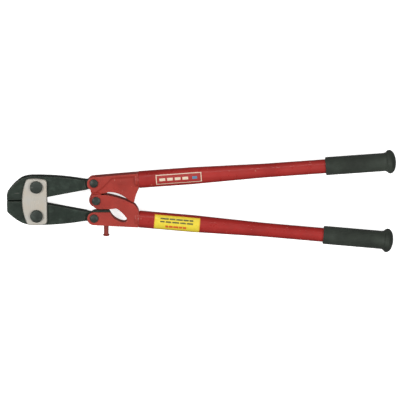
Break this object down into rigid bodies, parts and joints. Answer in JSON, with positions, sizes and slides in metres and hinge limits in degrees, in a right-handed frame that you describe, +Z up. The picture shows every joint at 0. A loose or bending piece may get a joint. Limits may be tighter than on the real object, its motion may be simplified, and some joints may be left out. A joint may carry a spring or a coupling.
{
  "type": "bolt cutters",
  "caption": "Long-handled compound bolt cutters with forged jaws, steel straps, cast handle forks, tubular handles and flanged rubber grips.",
  "frame": {"origin": "centre of the bounding box in X and Y, at the surface the tool lies on", "axes": "+X from the cutting head to the grips, +Y across the handles, +Z up through the pivots"},
  "size_m": [0.6092, 0.1642, 0.0375],
  "materials": {
    "blackened_steel": "satin black-green forged steel",
    "bare_steel": "pale ground steel",
    "red_casting": "red enamel on a casting",
    "red_tube": "red enamel on tube",
    "fastener": "black oxide",
    "zinc": "zinc plated",
    "grip_rubber": "black-green moulded rubber",
    "name_label": "red film with a cream border",
    "caution_label": "yellow film",
    "bush_bronze": "plain bronze"
  },
  "bodies": {
    "cutting_head": {"top_strap": "bare_steel", "bottom_strap": "bare_steel", "upper_strap_bolt": "fastener", "lower_strap_bolt": "fastener", "upper_strap_nut": "fastener", "lower_strap_nut": "fastener"},
    "upper_jaw": {"upper_jaw": "blackened_steel"},
    "lower_jaw": {"lower_jaw": "blackened_steel"},
    "upper_handle": {"upper_casting": "red_casting", "upper_handle_tube": "red_tube", "upper_grip": "grip_rubber", "upper_name_label": "name_label", "upper_jaw_pivot_bolt": "fastener", "upper_jaw_pivot_washer": "zinc", "upper_jaw_pivot_nut": "fastener"},
    "lower_handle": {"lower_casting": "red_casting", "lower_handle_tube": "red_tube", "lower_grip": "grip_rubber", "lower_caution_label": "caution_label", "lower_jaw_pivot_bolt": "fastener", "lower_jaw_pivot_washer": "zinc", "lower_jaw_pivot_nut": "fastener", "center_pivot_bolt": "fastener", "center_pivot_washer": "zinc", "center_pivot_nut": "fastener"},
    "jaw_adjuster": {"adjusting_lever": "blackened_steel", "lever_bush": "bush_bronze"},
    "adjusting_screw": {"adjusting_screw": "red_casting"}
  },
  "joints": [
    {"name": "upper_jaw_pivot", "type": "hinge", "parent": "cutting_head", "child": "upper_jaw", "pos_m": [-0.2585, 0.0232, 0.01875], "axis": [0, 0, 1], "range_deg": [-6.49, 0]},
    {"name": "lower_jaw_pivot", "type": "hinge", "parent": "cutting_head", "child": "lower_jaw", "pos_m": [-0.2585, -0.0232, 0.01875], "axis": [0, 0, 1], "range_deg": [0, 6.49]},
    {"name": "handle_swing", "type": "hinge", "parent": "upper_jaw", "child": "upper_handle", "pos_m": [-0.1685, 0.0282, 0.01875], "axis": [0, 0, 1], "range_deg": [0, 54]},
    {"name": "lower_handle_swing", "type": "hinge", "parent": "lower_jaw", "child": "lower_handle", "pos_m": [-0.1685, -0.0282, 0.01875], "axis": [0, 0, 1], "range_deg": [-54.01, 0]},
    {"name": "lever_pivot", "type": "hinge", "parent": "lower_handle", "child": "jaw_adjuster", "pos_m": [-0.1685, -0.0282, 0.01875], "axis": [0, 0, 1], "range_deg": [-2.73, 2.73]},
    {"name": "adjusting_screw_travel", "type": "slide", "parent": "lower_handle", "child": "adjusting_screw", "axis": [0, 1, 0], "range_m": [-0.00091, 0.00091]}
  ],
  "couplings": [
    {"joint": "upper_jaw_pivot", "follows": "handle_swing", "ratio": -0.12},
    {"joint": "lower_jaw_pivot", "follows": "handle_swing", "ratio": 0.12},
    {"joint": "lower_handle_swing", "follows": "handle_swing", "ratio": -1},
    {"joint": "adjusting_screw_travel", "follows": "lever_pivot", "m_per_rad": 0.0189}
  ]
}
